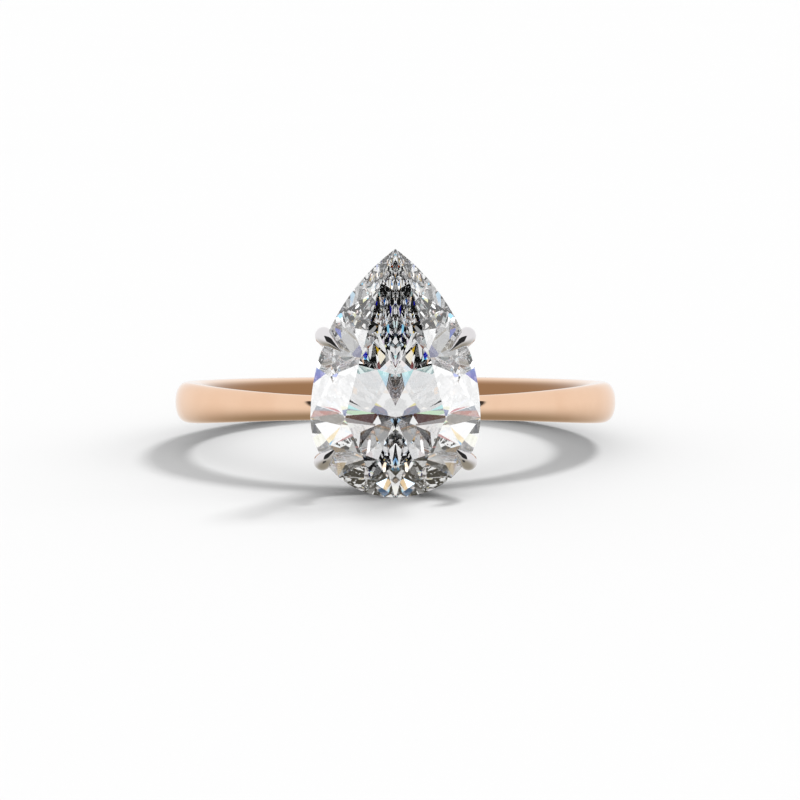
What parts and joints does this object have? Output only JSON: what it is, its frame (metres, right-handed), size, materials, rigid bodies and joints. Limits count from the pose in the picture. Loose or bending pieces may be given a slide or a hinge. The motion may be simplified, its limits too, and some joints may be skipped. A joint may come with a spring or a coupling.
{
  "type": "engagement ring",
  "caption": "Solitaire ring: tapered oval-section band and a claw basket head with gallery rails that holds a pear-shaped brilliant upright over the finger.",
  "frame": {"origin": "middle of the finger hole, on the axis of the finger and half way across the band", "axes": "+Z along the finger axis, towards the point of the stone; -Y from the finger out through the stone, so its table faces -Y; +X to the right seen from the table side"},
  "size_m": [0.0204, 0.0244, 0.0105],
  "materials": {
    "rose_gold": "mirror polished",
    "white_gold": "mirror polished",
    "diamond": "polished facets"
  },
  "bodies": {
    "root": {"shank": "rose_gold", "lower_rail": "white_gold", "upper_rail": "white_gold", "claw_upper_left": "white_gold", "claw_upper_right": "white_gold", "claw_lower_left": "white_gold", "claw_lower_right": "white_gold", "diamond": "diamond"}
  },
  "joints": []
}
